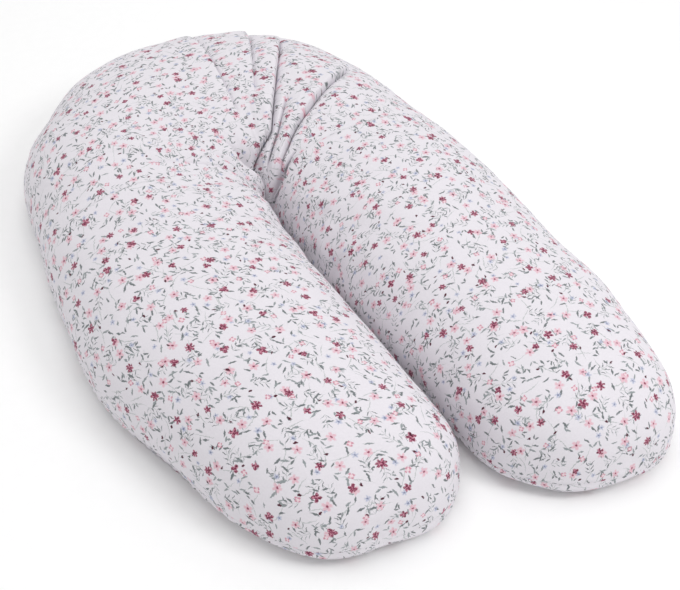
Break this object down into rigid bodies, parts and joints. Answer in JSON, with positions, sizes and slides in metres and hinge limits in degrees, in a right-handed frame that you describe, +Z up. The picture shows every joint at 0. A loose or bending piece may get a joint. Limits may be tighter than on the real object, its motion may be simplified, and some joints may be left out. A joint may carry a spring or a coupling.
{
  "type": "nursing pillow",
  "caption": "Long stuffed nursing pillow folded into a C: printed cotton cover with a back zip, inner liner, fibre filling, and two arms that swing open.",
  "frame": {"origin": "centre of the pillow's footprint, on the surface it lies on", "axes": "+Z up; +Y from the arms' tips towards the bend, along the arms; +X across the two arms, from the shorter left arm to the longer right arm"},
  "size_m": [0.6013, 0.9844, 0.14],
  "materials": {
    "printed_cotton": "matte",
    "liner_cotton": "matte",
    "fibre_filling": "matte",
    "zip_tape": "matte",
    "zip_coil": "satin",
    "zip_metal": "satin",
    "satin_label": "satin"
  },
  "bodies": {
    "bend": {"cover_top_bend": "printed_cotton", "cover_bottom_bend": "printed_cotton", "liner_top_bend": "liner_cotton", "liner_bottom_bend": "liner_cotton", "filling_bend": "fibre_filling", "zip_tape_upper": "zip_tape", "zip_tape_lower": "zip_tape", "zip_coil_upper": "zip_coil", "zip_coil_lower": "zip_coil", "zip_top_stop_upper": "zip_metal", "zip_top_stop_lower": "zip_metal", "zip_bottom_stop": "zip_metal", "care_label": "satin_label"},
    "left_arm": {"cover_top_left_arm": "printed_cotton", "cover_bottom_left_arm": "printed_cotton", "liner_top_left_arm": "liner_cotton", "liner_bottom_left_arm": "liner_cotton", "filling_left_arm": "fibre_filling"},
    "right_arm": {"cover_top_right_arm": "printed_cotton", "cover_bottom_right_arm": "printed_cotton", "liner_top_right_arm": "liner_cotton", "liner_bottom_right_arm": "liner_cotton", "filling_right_arm": "fibre_filling"},
    "zip_slider": {"zip_slider_body": "zip_metal"},
    "zip_pull": {"zip_pull_tab": "zip_metal"}
  },
  "joints": [
    {"name": "left_arm_spread", "type": "hinge", "parent": "bend", "child": "left_arm", "pos_m": [-0.28121, 0.0885, 0], "axis": [0, 0, -1], "range_deg": [0, 25]},
    {"name": "right_arm_spread", "type": "hinge", "parent": "bend", "child": "right_arm", "pos_m": [0.28842, 0.0885, 0], "axis": [0, 0, 1], "range_deg": [0, 25]},
    {"name": "zip_run", "type": "hinge", "parent": "bend", "child": "zip_slider", "pos_m": [0.00685, 0.2155, 0.024], "axis": [0, 0, 1], "range_deg": [0, 116.68]},
    {"name": "pull_swing", "type": "hinge", "parent": "zip_slider", "child": "zip_pull", "pos_m": [0.24594, 0.36294, 0.024], "axis": [0, 0, -1], "range_deg": [0, 170]}
  ]
}
